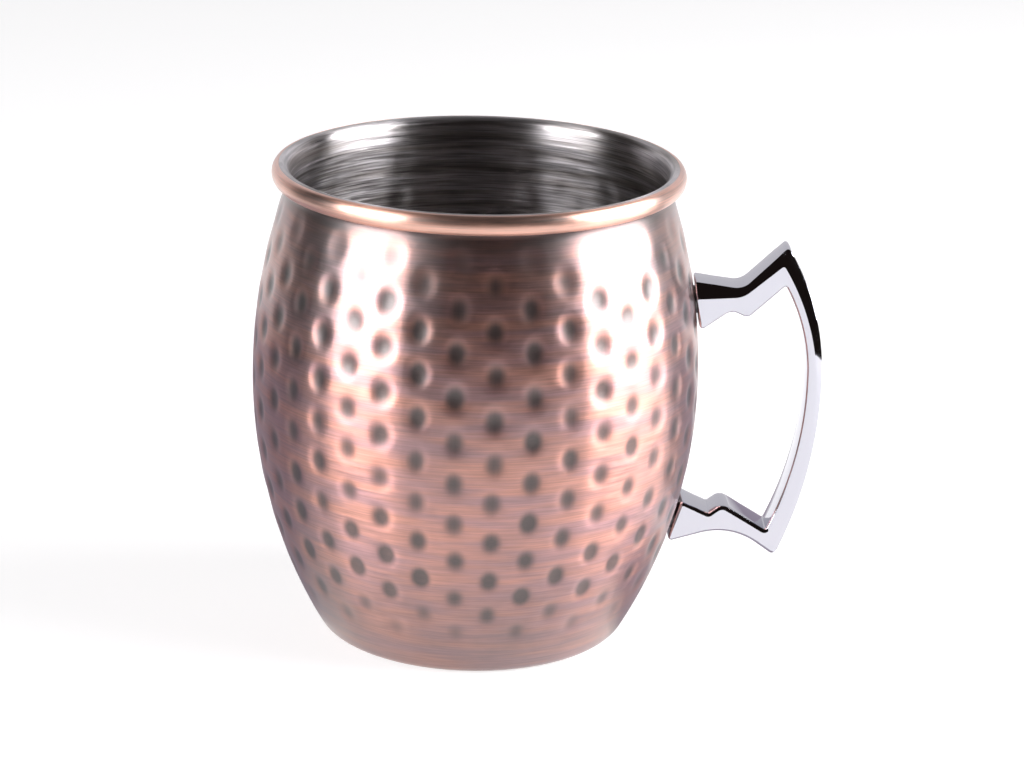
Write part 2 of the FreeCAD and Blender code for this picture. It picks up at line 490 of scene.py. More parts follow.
@dataclass(frozen=True)
class Straight:
    """A straight stretch of the cup's outside.

    Attributes:
        start: Where it starts.
        end: Where it ends.
        inward: The direction into the sheet's thickness.
    """

    start: Point
    end: Point
    inward: Point

    @property
    def length(self) -> float:
        """The stretch's length."""
        return math.dist(self.start, self.end)

    def at(self, share: float, inset: float) -> Station:
        """The ring at a share of the way along, moved into the sheet by the inset."""
        radius = self.start[0] + share * (self.end[0] - self.start[0])
        height = self.start[1] + share * (self.end[1] - self.start[1])
        return Station(radius + inset * self.inward[0], height + inset * self.inward[1], self.inward, height)


class Fineness(Enum):
    """How far apart the rings of a sheet's face are, in mm."""

    SHOWN = 0.74
    HIDDEN = 1.9


@dataclass(frozen=True)
class CupSection:
    """The section of the cup, from the axis under its bottom to the curl of its rim.

    Attributes:
        height: Table to the top of the rim.
        belly_radius: Widest radius of the barrel.
        belly_z: Height of the widest point.
        rim_radius: Outermost radius of the rolled rim.
        neck_radius: Outside of the short upright neck.
        lower_bow: Radius of the arc below the belly.
        upper_bow: Radius of the arc above the belly.
        neck_bend: Radius of the bend into the neck.
        foot_corner: Radius of the bend from the foot ring into the wall.
        recess_radius: Inner edge of the foot ring.
        recess_depth: Height of the bottom panel.
        recess_angle: How far the step into the recess leans.
        coat: Thickness of the copper.
        steel: Thickness of the steel.
        curl_half: Half the width and half the height of the steel's curl.
        copper_edge: Where the copper stops on the curl, as an angle from its top, outwards.
        curl_end: Where the steel's cut edge is.
        show_through: Height of a dimple on the inside, as a share of its depth outside.
    """

    height: float
    belly_radius: float
    belly_z: float = 54.3
    rim_radius: float = 42.5
    neck_radius: float = 39.7
    lower_bow: float = 107.0
    upper_bow: float = 123.0
    neck_bend: float = 4.0
    foot_corner: float = 3.5
    recess_radius: float = 26.0
    recess_depth: float = 1.5
    recess_angle: float = math.radians(50)
    coat: float = 0.2
    steel: float = 0.6
    curl_half: Point = (1.7, 2.0)
    copper_edge: float = math.radians(15)
    curl_end: float = math.radians(212)
    show_through: float = 0.65

    @property
    def sheet(self) -> float:
        """Thickness of both metals together."""
        return self.coat + self.steel

    def wall(self, top: float) -> list[Bow | Straight]:
        """Works out the outside of the cup.

        Args:
            top: The height on the neck where it ends.

        Returns:
            Its arcs and straights, in order from the axis.
        """
        lower = (self.belly_radius - self.lower_bow, self.belly_z)
        upper = (self.belly_radius - self.upper_bow, self.belly_z)
        reach = self.lower_bow - self.foot_corner
        corner_x = lower[0] + math.sqrt(reach ** 2 - (self.belly_z - self.foot_corner) ** 2)
        corner = (corner_x, self.foot_corner)
        neck_x = self.neck_radius + self.neck_bend
        neck_rise = math.sqrt((self.upper_bow + self.neck_bend) ** 2 - (neck_x - upper[0]) ** 2)
        neck = (neck_x, self.belly_z + neck_rise)
        low = math.atan2(corner[1] - lower[1], corner[0] - lower[0])
        high = math.atan2(neck[1] - upper[1], neck[0] - upper[0])
        lean = self.recess_angle
        step = self.recess_depth / (2 * (1 - math.cos(lean)))
        panel_x = self.recess_radius - 2 * step * math.sin(lean)
        quarter = math.pi / 2
        return [
            Straight((0.0, self.recess_depth), (panel_x, self.recess_depth), (0.0, 1.0)),
            Bow((panel_x, self.recess_depth - step), step, quarter, quarter - lean, -1),
            Bow((self.recess_radius, step), step, 3 * quarter - lean, 3 * quarter, 1),
            Straight((self.recess_radius, 0.0), (corner_x, 0.0), (0.0, 1.0)),
            Bow(corner, self.foot_corner, -quarter, low, 1),
            Bow(lower, self.lower_bow, low, 0.0, 1),
            Bow(upper, self.upper_bow, 0.0, high, 1),
            Bow(neck, self.neck_bend, math.pi + high, math.pi, -1),
            Straight((self.neck_radius, neck[1]), (self.neck_radius, top), (-1.0, 0.0)),
        ]

    def face(self, inset: float, top: float, fineness: Fineness) -> list[Station]:
        """The rings of one face of the sheet, from the axis to a height on the neck.

        Args:
            inset: Depth of the face under the cup's outside.
            top: Height where the face ends.
            fineness: Spacing of the rings.

        Returns:
            The rings in order.
        """
        rings = [self.wall(top)[0].at(0.0, inset)]
        for stretch in self.wall(top):
            least = 4 if isinstance(stretch, Bow) else 1
            count = max(least, math.ceil(stretch.length / fineness.value))
            if isinstance(stretch, Straight) and stretch.inward[0] == 0:
                count = min(count, 7)
            rings += [stretch.at(step / count, inset) for step in range(1, count + 1)]
        return rings

    def curl(self, start: float, end: float, count: int, grow: float, fade: float = 0.0) -> list[Station]:
        """The rings round the rim's curl.

        Args:
            start: The first ring's angle, from the curl's top outwards.
            end: The last ring's angle.
            count: The number of steps.
            grow: How far outside the steel's curl the rings lie.
            fade: Over this angle from the copper's edge, the growth rises from almost nothing.

        Returns:
            The rings in order.
        """
        crown = (self.curl_half[1] + self.coat) * math.cos(self.copper_edge)
        centre = (self.rim_radius - self.coat - self.curl_half[0], self.height - crown)
        rings = []
        for step in range(count + 1):
            angle = start + (end - start) * step / count
            rise = min(1.0, 0.1 + abs(angle - self.copper_edge) / fade) if fade else 1.0
            across = (self.curl_half[0] + grow * rise) * math.sin(angle)
            up = (self.curl_half[1] + grow * rise) * math.cos(angle)
            rings.append(Station(centre[0] + across, centre[1] + up, (0.0, 0.0), self.height))
        return rings

    def copper(self) -> list[Station]:
        """The rings of the copper skin: outside face, round the rim to its edge, and back along the steel."""
        meet = math.pi + math.asin((self.rim_radius - self.coat - self.curl_half[0] - self.neck_radius)
                                   / (self.curl_half[0] + self.coat))
        over = self.curl(meet, self.copper_edge, 28, self.coat, fade=math.radians(25))
        under = self.curl(self.copper_edge, self.curl_end, 12, 0.0)
        front = self.face(0.0, over[0].height, Fineness.SHOWN)
        back = self.face(self.coat, under[-1].height, Fineness.HIDDEN)
        return [*front[:-1], *over, *under, *reversed(back)]

    def softened(self, ring: Station) -> Station:
        """The same ring, pressed in less, because a dimple comes through the sheet weaker."""
        return replace(ring, inward=(ring.inward[0] * self.show_through, ring.inward[1] * self.show_through))

    def cup(self) -> list[Station]:
        """The rings of the steel cup: inside face, over the rim, through the curl, and down its outside."""
        start = math.radians(-90)
        over = self.curl(start, self.curl_end, 32, 0.0)
        through = self.curl(self.curl_end, start, 12, -self.steel)
        inside = [self.softened(ring) for ring in self.face(self.sheet, over[0].height, Fineness.SHOWN)]
        outside = self.face(self.coat, through[-1].height, Fineness.HIDDEN)
        return [*inside[:-1], *over, *through[:-1], *reversed(outside)]


def turn(name: str, rings: list[Station], columns: int, first_angle: float) -> bpy.types.Object:
    """Turns a section that starts and ends on the axis into a closed mesh.

    Each vertex keeps the way into the sheet as "inward" and the outside's height as "gauge", for the dimples.

    Args:
        name: The new object's name.
        rings: The section, in mm.
        columns: The number of vertices round each ring.
        first_angle: The angle of each ring's first vertex.

    Returns:
        The new object.
    """
    mesh = bpy.data.meshes.new(name)
    shape = bmesh.new()
    inward = shape.verts.layers.float_vector.new("inward")
    gauge = shape.verts.layers.float.new("gauge")
    loops = []
    for ring in rings:
        pole = ring.radius < ON_AXIS
        loop = []
        for column in range(1 if pole else columns):
            angle = first_angle + math.tau * column / columns
            way = (math.cos(angle), math.sin(angle))
            vertex = shape.verts.new((ring.radius * way[0] * MM, ring.radius * way[1] * MM, ring.height * MM))
            vertex[inward] = (ring.inward[0] * way[0], ring.inward[0] * way[1], ring.inward[1])
            vertex[gauge] = ring.gauge * MM
            loop.append(vertex)
        loops.append(loop * columns if pole else loop)
    for lower, upper in zip(loops, loops[1:]):
        for column in range(columns):
            beside = (column + 1) % columns
            corners = [lower[column], lower[beside], upper[beside], upper[column]]
            shape.faces.new(list(dict.fromkeys(corners)))
    bmesh.ops.recalc_face_normals(shape, faces=shape.faces)
    shape.to_mesh(mesh)
    shape.free()
    mesh.shade_smooth()
    piece = bpy.data.objects.new(name, mesh)
    bpy.context.scene.collection.objects.link(piece)
    return piece


# ------------------------------------------------------------------------------------------------ dimples


@dataclass(frozen=True)
class DimplePattern:
    """Dimples pressed through both sheets in level rows, each upright column half a row below the next.

    Attributes:
        columns: Number of columns round the cup, an even number.
        first_angle: Angle of the first column.
        top: Height of the first column's top dimple.
        bottom: Height of the lowest dimple.
        pitch: Distance from one dimple to the next in a column.
        radius: Radius where a dimple's edge runs out into the wall.
        narrowing: A dimple's width as a share of its height.
        depth: Depth of a full dimple.
        wander: How far a dimple may be out of place.
        fullness: The least and the most of its depth that a dimple may have.
        end_depths: The share of the depth that the lowest and the highest dimples have.
        roundness: How round a dimple's bowl is. Its edge is softer where this is more.
        most_rows: More than the number of rows, to number the dimples by.
        seed: Seed of the unevenness.
    """

    columns: int = 38
    first_angle: float = math.radians(-94.6)
    top: float = 90.3
    bottom: float = 11.5
    pitch: float = 8.75
    radius: float = 3.9
    narrowing: float = 0.8
    depth: float = 0.39
    wander: float = 0.22
    fullness: Point = (0.82, 1.1)
    end_depths: Point = (0.42, 0.4)
    roundness: float = 1.7
    most_rows: float = 64.0
    seed: int = 11

    def inputs(self) -> dict[str, tuple[str, float]]:
        """The tree's named inputs, with each one's socket type and value."""
        return {
            "Columns": ("NodeSocketFloat", float(self.columns)),
            "First Angle": ("NodeSocketFloat", self.first_angle),
            "Top": ("NodeSocketFloat", self.top * MM),
            "Bottom": ("NodeSocketFloat", self.bottom * MM),
            "Pitch": ("NodeSocketFloat", self.pitch * MM),
            "Radius": ("NodeSocketFloat", self.radius * MM),
            "Narrowing": ("NodeSocketFloat", self.narrowing),
            "Depth": ("NodeSocketFloat", self.depth * MM),
            "Wander": ("NodeSocketFloat", self.wander * MM),
            "Seed": ("NodeSocketInt", self.seed),
        }

    def tree(self) -> tuple[bpy.types.NodeTree, dict[str, str]]:
        """Builds the geometry tree that presses the dimples.

        Returns:
            The tree, and each named input's identifier.
        """
        tree = bpy.data.node_groups.new("press_dimples", "GeometryNodeTree")
        face = tree.interface
        face.new_socket("Geometry", in_out="OUTPUT", socket_type="NodeSocketGeometry")
        face.new_socket("Geometry", in_out="INPUT", socket_type="NodeSocketGeometry")
        kinds = {name: kind for name, (kind, _) in self.inputs().items()}
        names = {}
        for name, kind in {**kinds, "Material": "NodeSocketMaterial"}.items():
            names[name] = face.new_socket(name, in_out="INPUT", socket_type=kind).identifier
        given = add_node(tree, "NodeGroupInput").outputs
        amount, offset = self.pressing(tree, given)
        pressed = add_node(tree, "GeometryNodeSetPosition", {"Geometry": given["Geometry"], "Offset": offset})
        depths = {"Geometry": pressed, "Name": "dimple", "Value": amount}
        kept = add_node(tree, "GeometryNodeStoreNamedAttribute", depths, data_type="FLOAT", domain="POINT")
        real = add_node(tree, "GeometryNodeRealizeInstances", (kept,))
        dressed = add_node(tree, "GeometryNodeSetMaterial", {"Geometry": real, "Material": given["Material"]})
        add_node(tree, "NodeGroupOutput", (dressed,))
        return tree, names

    def pressing(self, tree: bpy.types.NodeTree,
                 given: bpy.types.bpy_prop_collection) -> tuple[bpy.types.NodeSocket, bpy.types.NodeSocket]:
        """Adds the fields that find each point's nearest dimple and how far it is pressed there.

        Args:
            tree: The geometry tree.
            given: The tree's inputs.

        Returns:
            The share of a full dimple's depth, and the move.
        """
        position = add_node(tree, "GeometryNodeInputPosition")
        place = add_node(tree, "ShaderNodeSeparateXYZ", (position,)).outputs
        inward, gauge = [add_node(tree, "GeometryNodeInputNamedAttribute", {"Name": name}, data_type=kind)
                         for name, kind in (("inward", "FLOAT_VECTOR"), ("gauge", "FLOAT"))]
        known = {**dict(given.items()), "x": place["X"], "y": place["Y"], "gauge": gauge}
        work_out(tree, known, [
            ("step", Step.DIVIDE, math.tau, "Columns"),
            ("turns", Step.ARCTAN2, "y", "x"),
            ("turns", Step.SUBTRACT, "turns", "First Angle"),
            ("turns", Step.DIVIDE, "turns", "step"),
            ("nearest", Step.ROUND, "turns"),
            ("column", Step.MODULO, "nearest", "Columns"),
            ("xx", Step.MULTIPLY, "x", "x"),
            ("yy", Step.MULTIPLY, "y", "y"),
            ("radius", Step.ADD, "xx", "yy"),
            ("radius", Step.SQRT, "radius"),
            ("across", Step.SUBTRACT, "turns", "nearest"),
            ("across", Step.MULTIPLY, "across", "step"),
            ("across", Step.MULTIPLY, "across", "radius"),
            ("stagger", Step.MODULO, "column", 2.0),
            ("stagger", Step.MULTIPLY, "stagger", 0.5),
            ("drop", Step.SUBTRACT, "Top", "gauge"),
            ("drop", Step.DIVIDE, "drop", "Pitch"),
            ("drop", Step.SUBTRACT, "drop", "stagger"),
            ("row", Step.ROUND, "drop"),
            ("along", Step.SUBTRACT, "drop", "row"),
            ("along", Step.MULTIPLY, "along", "Pitch"),
            ("centre", Step.ADD, "row", "stagger"),
            ("centre", Step.MULTIPLY, "centre", "Pitch"),
            ("centre", Step.SUBTRACT, "Top", "centre"),
            ("number", Step.MULTIPLY, "column", self.most_rows),
            ("number", Step.ADD, "number", "row"),
            ("number", Step.WHOLE, "number"),
            ("back", Step.MULTIPLY, "Wander", -1.0),
        ])
        either_way = (known["back"], known["Wander"])
        draws = {"aside": either_way, "raised": either_way, "full": self.fullness}
        for draw_number, (name, (low, high)) in enumerate(draws.items()):
            seed = add_node(tree, "ShaderNodeMath", (given["Seed"], float(draw_number)), operation="ADD")
            draw = {2: low, 3: high, "ID": known["number"], "Seed": seed}
            known[name] = add_node(tree, "FunctionNodeRandomValue", draw, data_type="FLOAT").outputs[1]
        work_out(tree, known, [
            ("width", Step.MULTIPLY, "Radius", "Narrowing"),
            ("across", Step.ADD, "across", "aside"),
            ("across", Step.DIVIDE, "across", "width"),
            ("across", Step.MULTIPLY, "across", "across"),
            ("along", Step.ADD, "along", "raised"),
            ("along", Step.DIVIDE, "along", "Radius"),
            ("along", Step.MULTIPLY, "along", "along"),
            ("bowl", Step.ADD, "across", "along"),
            ("bowl", Step.SUBTRACT, 1.0, "bowl"),
            ("bowl", Step.MAXIMUM, "bowl", 0.0),
            ("bowl", Step.POWER, "bowl", self.roundness),
            ("lowest", Step.MULTIPLY, "Pitch", 0.25),
            ("lowest", Step.SUBTRACT, "Bottom", "lowest"),
            ("lowest", Step.GREATER, "centre", "lowest"),
            ("highest", Step.GREATER, "row", -0.5),
            ("inside", Step.MULTIPLY, "highest", "lowest"),
            ("low_end", Step.MULTIPLY, "Pitch", 1.6),
            ("low_end", Step.ADD, "Bottom", "low_end"),
            ("low_end", Step.RAMP, "centre", "Bottom", "low_end", self.end_depths[0], 1.0),
            ("high_end", Step.MULTIPLY, "Pitch", 1.2),
            ("high_end", Step.SUBTRACT, "Top", "high_end"),
            ("high_end", Step.RAMP, "centre", "high_end", "Top", 1.0, self.end_depths[1]),
            ("ends", Step.MULTIPLY, "low_end", "high_end"),
            ("full", Step.MULTIPLY, "inside", "full"),
            ("full", Step.MULTIPLY, "ends", "full"),
            ("amount", Step.MULTIPLY, "bowl", "full"),
            ("push", Step.MULTIPLY, "amount", "Depth"),
        ])
        offset = add_node(tree, "ShaderNodeVectorMath", {0: inward, 3: known["push"]}, operation="SCALE")
        return known["amount"], offset.outputs[0]

    def press(self, piece: bpy.types.Object, material: bpy.types.Material) -> bpy.types.Object:
        """Presses the dimples into a sheet and leaves it a plain mesh.

        Args:
            piece: A sheet made by turn().
            material: The sheet's finish.

        Returns:
            The pressed sheet, under the same name.
        """
        tree, names = self.tree()
        modifier = piece.modifiers.new("dimples", "NODES")
        modifier.node_group = tree
        for name, (_, value) in self.inputs().items():
            modifier[names[name]] = value
        modifier[names["Material"]] = material
        bpy.context.view_layer.update()
        evaluated = piece.evaluated_get(bpy.context.evaluated_depsgraph_get())
        mesh = bpy.data.meshes.new_from_object(evaluated)
        piece.modifiers.clear()
        plain = piece.data
        piece.data = mesh
        bpy.data.meshes.remove(plain)
        mesh.name = piece.name
        return piece


@dataclass(frozen=True)
class Cup:
    """The steel cup and its copper skin, both dimpled.

    Attributes:
        section: The cup's section.
        dimples: The pattern pressed through it.
        columns_each: Vertices round the cup for each column of dimples.
    """

    section: CupSection
    dimples: DimplePattern
    columns_each: int = 9

    def build(self, name: str, rings: list[Station], finish: Finish) -> bpy.types.Object:
        """Turns a sheet and presses its dimples.

        Args:
            name: The piece's name.
            rings: The sheet's section.
            finish: The sheet's finish.

        Returns:
            The finished piece.
        """
        columns = self.columns_each * self.dimples.columns
        piece = turn(name, rings, columns, self.dimples.first_angle)
        return self.dimples.press(piece, finish.build())

    def copper_skin(self, finish: Finish) -> bpy.types.Object:
        """Makes the copper skin and lets it stand for its solid."""
        piece = self.build("dimpled_copper_skin", self.section.copper(), finish)
        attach(piece, BODY)
        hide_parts("copper_skin")
        return piece

    def steel_cup(self, finish: Finish) -> bpy.types.Object:
        """Makes the steel cup and lets it stand for its solid."""
        piece = self.build("dimpled_steel_cup", self.section.cup(), finish)
        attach(piece, BODY)
        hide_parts("steel_cup")
        return piece


# ------------------------------------------------------------------------------------------------- handle


@dataclass(frozen=True)
class Knot:
    """A corner of the handle's outline, rounded off.

    Attributes:
        place: The corner before it is rounded, in the XZ plane.
        radius: The rounding, which makes a whole bow of the grip where it is large.
        inset: How far inside the outline the flat side starts.
        bevel: Whether the edge is a flat bevel, where it is otherwise a round.
        face: The flat side's own corner, where it isn't simply inset.
        face_radius: That corner's rounding.
    """

    place: Point
    radius: float
    inset: float = 0.7
    bevel: bool = False
    face: Point | None = None
    face_radius: float = 0.0


class EdgeShape(Enum):
    """How the handle's edge turns from the flat side to the back, as a share of a quarter round."""

    BEVEL = 0.2
    ROUND = 1.0


@dataclass(frozen=True)
class Handle:
    """The cast handle: flat sides, a tall bevel along the top and back, and small rounds inside.

    Attributes:
        width: Width across the grip.
        root_width: Width at the feet.
        flare: Where the widening starts and where it is full, along X.
        spacing: Largest step along the outline.
        edge_steps: Steps round an edge, from the flat side to the back.
        back_steps: Steps across the back.
        crown: How far the middle of the back stands out.
        round_drop: How far a round edge falls back from the flat side.
        bevel_slope: How far a bevel falls back for each millimetre of its width.
        bevel_width: The width past which a bevel falls back no further.
        arc_step: Largest turn between two points of a rounded corner.
        sharp_angle: An edge that turns more than this is shaded sharp.
    """

    width: float = 8.6
    root_width: float = 9.3
    flare: Point = (57.0, 45.0)
    spacing: float = 0.6
    edge_steps: int = 6
    back_steps: int = 6
    crown: float = 0.14
    round_drop: float = 0.6
    bevel_slope: float = 0.43
    bevel_width: float = 2.7
    arc_step: float = math.radians(14)
    sharp_angle: float = math.radians(17)

    def knots(self) -> list[Knot]:
        """The outline's corners, from the top of the upper foot round the back to its underside."""
        return [
            Knot((44.95, 76.35), 0.4, bevel=True, face=(45.45, 72.85), face_radius=0.3),
            Knot((54.8, 75.0), 4.0, bevel=True, face=(55.0, 73.35), face_radius=5.0),
            Knot((63.95, 84.0), 0.7, bevel=True, face=(63.1, 80.3), face_radius=0.5),
            Knot((72.1, 70.3), 52.0, bevel=True, face=(71.4, 66.5), face_radius=52.0),
            Knot((72.1, 35.6), 96.0, bevel=True, face=(70.85, 35.9), face_radius=78.0),
            Knot((64.0, 16.3), 1.0, inset=0.8),
            Knot((54.5, 23.1), 14.0),
            Knot((41.1, 19.2), 0.7, inset=0.5),
            Knot((43.8, 28.35), 0.7, inset=0.9),
            Knot((49.7, 25.7), 0.4, inset=1.1),
            Knot((52.5, 27.8), 2.2, inset=1.1),
            Knot((61.9, 22.1), 0.4, inset=1.1),
            Knot((69.0, 38.1), 79.0, inset=0.85),
            Knot((69.0, 66.3), 40.0, inset=0.85),
            Knot((63.65, 76.0), 0.4, inset=0.85),
            Knot((56.1, 68.9), 1.6),
            Knot((52.6, 70.5), 2.5),
            Knot((46.3, 66.0), 0.7, inset=0.5),
        ]

    @staticmethod
    def corner(before: Point, here: Point, after: Point) -> tuple[Vector, Vector, float, bool]:
        """Measures a corner of a loop that runs clockwise.

        Args:
            before: The corner before it.
            here: The corner.
            after: The corner after it.

        Returns:
            The directions to the corners before and after, half the angle between them, and whether it
            stands out.
        """
        back = (Vector(before) - Vector(here)).normalized()
        ahead = (Vector(after) - Vector(here)).normalized()
        half = back.angle(ahead) / 2
        stands_out = back.x * ahead.y - back.y * ahead.x > 0
        return back, ahead, half, stands_out

    def face_knots(self) -> list[tuple[Point, float]]:
        """Works out the flat side's corners.

        Returns:
            Each corner's place and rounding.
        """
        knots = self.knots()
        found = []
        for number, knot in enumerate(knots):
            if knot.face:
                found.append((knot.face, knot.face_radius))
                continue
            before = knots[number - 1].place
            after = knots[(number + 1) % len(knots)].place
            back, ahead, half, stands_out = self.corner(before, knot.place, after)
            way = (back + ahead).normalized() * (knot.inset / math.sin(half))
            moved = Vector(knot.place) + (way if stands_out else -way)
            radius = max(knot.radius - knot.inset, 0.15) if stands_out else knot.radius + knot.inset
            found.append(((moved.x, moved.y), radius))
        return found

    def loop(self, corners: list[tuple[Point, float]], arcs: list[int], runs: list[int]) -> list[Vector]:
        """Rounds a loop's corners.

        Args:
            corners: Each corner's place and rounding.
            arcs: Steps round each corner.
            runs: Steps from each corner to the next.

        Returns:
            The loop's points.
        """
        ends = []
        for number, (place, radius) in enumerate(corners):
            before = corners[number - 1][0]
            after = corners[(number + 1) % len(corners)][0]
            back, ahead, half, _ = self.corner(before, place, after)
            reach = radius / math.tan(half)
            centre = Vector(place) + (back + ahead).normalized() * (radius / math.sin(half))
            first = Vector(place) + back * reach
            last = Vector(place) + ahead * reach
            ends.append((first, last, centre))
        points = []
        for number, (first, last, centre) in enumerate(ends):
            arm = first - centre
            sweep = arm.angle_signed(last - centre)
            for step in range(arcs[number] + 1):
                turned = arm.copy()
                turned.rotate(Matrix.Rotation(-sweep * step / arcs[number], 2))
                points.append(centre + turned)
            following = ends[(number + 1) % len(ends)][0]
            points += [last.lerp(following, step / runs[number]) for step in range(1, runs[number])]
        return points

    def steps(self, corners: list[tuple[Point, float]]) -> tuple[list[int], list[int]]:
        """Counts the steps that a loop needs.

        Args:
            corners: Each corner's place and rounding.

        Returns:
            Steps round each corner, and steps from each corner to the next.
        """
        arcs, runs, reaches = [], [], []
        for number, (place, radius) in enumerate(corners):
            after = corners[(number + 1) % len(corners)][0]
            _, _, half, _ = self.corner(corners[number - 1][0], place, after)
            sweep = math.pi - 2 * half
            arcs.append(max(4, math.ceil(sweep * radius / self.spacing), math.ceil(sweep / self.arc_step)))
            reaches.append(radius / math.tan(half))
        for number, (place, _) in enumerate(corners):
            beside = (number + 1) % len(corners)
            length = math.dist(place, corners[beside][0]) - reaches[number] - reaches[beside]
            if length < 0:
                LOG.warning("corners %d and %d overlap by %.2f mm", number, beside, -length)
            runs.append(max(1, math.ceil(length / self.spacing)))
        return arcs, runs

    def loops(self) -> tuple[list[Vector], list[Vector], list[float]]:
        """Matches the outline and the flat side's edge, point for point.

        Returns:
            The outline, the flat side's edge, and how much of a bevel lies between them.
        """
        knots = self.knots()
        outline, face = [(knot.place, knot.radius) for knot in knots], self.face_knots()
        counts = [self.steps(corners) for corners in (outline, face)]
        arcs, runs = [[max(pair) for pair in zip(*kind)] for kind in zip(*counts)]
        bevels = []
        for number, knot in enumerate(knots):
            change = knots[(number + 1) % len(knots)].bevel - knot.bevel
            bevels += [float(knot.bevel)] * (arcs[number] + 1)
            bevels += [knot.bevel + change * step / runs[number] for step in range(1, runs[number])]
        return self.loop(outline, arcs, runs), self.loop(face, arcs, runs), bevels

    def half_width(self, x: float) -> float:
        """Half the handle's width at a place along X."""
        share = min(1.0, max(0.0, (x - self.flare[0]) / (self.flare[1] - self.flare[0])))
        share = share * share * (3 - 2 * share)
        return (self.width + (self.root_width - self.width) * share) / 2

    @staticmethod
    def distance(point: Vector, loop: list[Vector]) -> float:
        """Measures how far a point is from a loop.

        Args:
            point: The point.
            loop: The loop's points, in order.

        Returns:
            The shortest distance.
        """
        found = []
        for start, end in zip(loop, loop[1:] + loop[:1]):
            nearest, share = intersect_point_line(point, start, end)
            found.append((point - (nearest.to_2d() if 0 < share < 1 else start)).length)
        return min(found)

    def rings(self) -> list[list[Vector]]:
        """Works out the casting's surface.

        Returns:
            The loops of vertices from the flat side at -Y over the back to the flat side at +Y.
        """
        outline, face, bevels = self.loops()
        reaches = [min(self.distance(point, face), self.bevel_width) for point in outline]
        count = len(outline)
        near = []
        for step in range(self.edge_steps + 1):
            share = step / self.edge_steps
            turned = share * math.pi / 2
            ring = []
            for number in range(count):
                bevel = bevels[number]
                bulge = EdgeShape.ROUND.value + (EdgeShape.BEVEL.value - EdgeShape.ROUND.value) * bevel
                out = share + (math.sin(turned) - share) * bulge
                down = share + (1 - math.cos(turned) - share) * bulge
                drop = self.round_drop + (reaches[number] * self.bevel_slope - self.round_drop) * bevel
                flat = face[number].lerp(outline[number], out)
                ring.append(Vector((flat.x, drop * down - self.half_width(flat.x), flat.y)))
            near.append(ring)
        middle = []
        for step in range(1, self.back_steps):
            share = step / self.back_steps
            bulge = self.crown * 4 * share * (1 - share)
            ring = []
            for number in range(count):
                edge = near[-1][number]
                along = outline[(number + 1) % count] - outline[number - 1]
                out = Vector((-along.y, along.x)).normalized() * bulge
                ring.append(Vector((edge.x + out.x, edge.y * (1 - 2 * share), edge.z + out.y)))
            middle.append(ring)
        far = [[Vector((point.x, -point.y, point.z)) for point in ring] for ring in reversed(near)]
        return [*near, *middle, *far]

    @staticmethod
    def fill(shape: bmesh.types.BMesh, loop: list[bmesh.types.BMVert]) -> None:
        """Fills a flat side with evenly shaped triangles.

        Args:
            shape: The casting.
            loop: The vertices round the side.
        """
        flat = [Vector((vertex.co.x, vertex.co.z)) / MM for vertex in loop]
        _, _, triangles, sources, _, _ = delaunay_2d_cdt(flat, [], [range(len(flat))], 1, 1e-5)
        for triangle in triangles:
            shape.faces.new([loop[sources[corner][0]] for corner in triangle])

    def build(self, finish: Finish) -> bpy.types.Object:
        """Makes the casting and lets it stand for its solid.

        Args:
            finish: The casting's finish.

        Returns:
            The finished piece.
        """
        shape = bmesh.new()
        loops = [[shape.verts.new(point * MM) for point in ring] for ring in self.rings()]
        for near, far in zip(loops, loops[1:]):
            for number in range(len(near)):
                beside = (number + 1) % len(near)
                shape.faces.new([near[number], near[beside], far[beside], far[number]])
        for side in (loops[0], loops[-1]):
            self.fill(shape, side)
        bmesh.ops.remove_doubles(shape, verts=shape.verts, dist=0.002 * MM)
        bmesh.ops.recalc_face_normals(shape, faces=shape.faces)
        for face in shape.faces:
            face.smooth = True
        for edge in shape.edges:
            flats = [abs(face.normal.y) > 0.99 for face in edge.link_faces]
            edge.smooth = edge.calc_face_angle(0) < self.sharp_angle and flats[0] == flats[-1]
        mesh = bpy.data.meshes.new("handle_casting")
        shape.to_mesh(mesh)
        shape.free()
        piece = bpy.data.objects.new("handle_casting", mesh)
        bpy.context.scene.collection.objects.link(piece)
        mesh.materials.append(finish.build())
        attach(piece, BODY)
        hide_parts("handle")
        return piece


# ------------------------------------------------------------------------------------------------- studio


@dataclass(frozen=True)
class Softbox:
    """A flat lamp that faces the mug.

    Attributes:
        name: The lamp's name.
        azimuth: Where it stands, in degrees from the camera's side towards the handle.
        elevation: How high its middle stands, in degrees.
        distance: How far its middle is from the mug's middle, in metres.
        size: Its width and height, in metres.
        power: Its power, in watts.
        tint: Its colour, as sRGB hex.
    """

    name: str
    azimuth: float
    elevation: float
    distance: float
    size: Point
    power: float
    tint: str = "#FEFDFF"

    def place(self, middle: Vector) -> None:
        """Sets the lamp up, facing a point.

        Args:
            middle: The point, in metres.
        """
        lamp = bpy.data.lights.new(self.name, "AREA")
        lamp.shape = "RECTANGLE"
        lamp.size, lamp.size_y = self.size
        lamp.energy = self.power
        lamp.color = from_hex(self.tint)[:3]
        turned, raised = math.radians(self.azimuth), math.radians(self.elevation)
        level = math.cos(raised)
        way = Vector((math.sin(turned) * level, -math.cos(turned) * level, math.sin(raised)))
        stand = bpy.data.objects.new(self.name, lamp)
        stand.location = middle + way * self.distance
        stand.rotation_euler = way.to_track_quat("Z", "Y").to_euler()
        stand.visible_camera = False
        bpy.context.scene.collection.objects.link(stand)


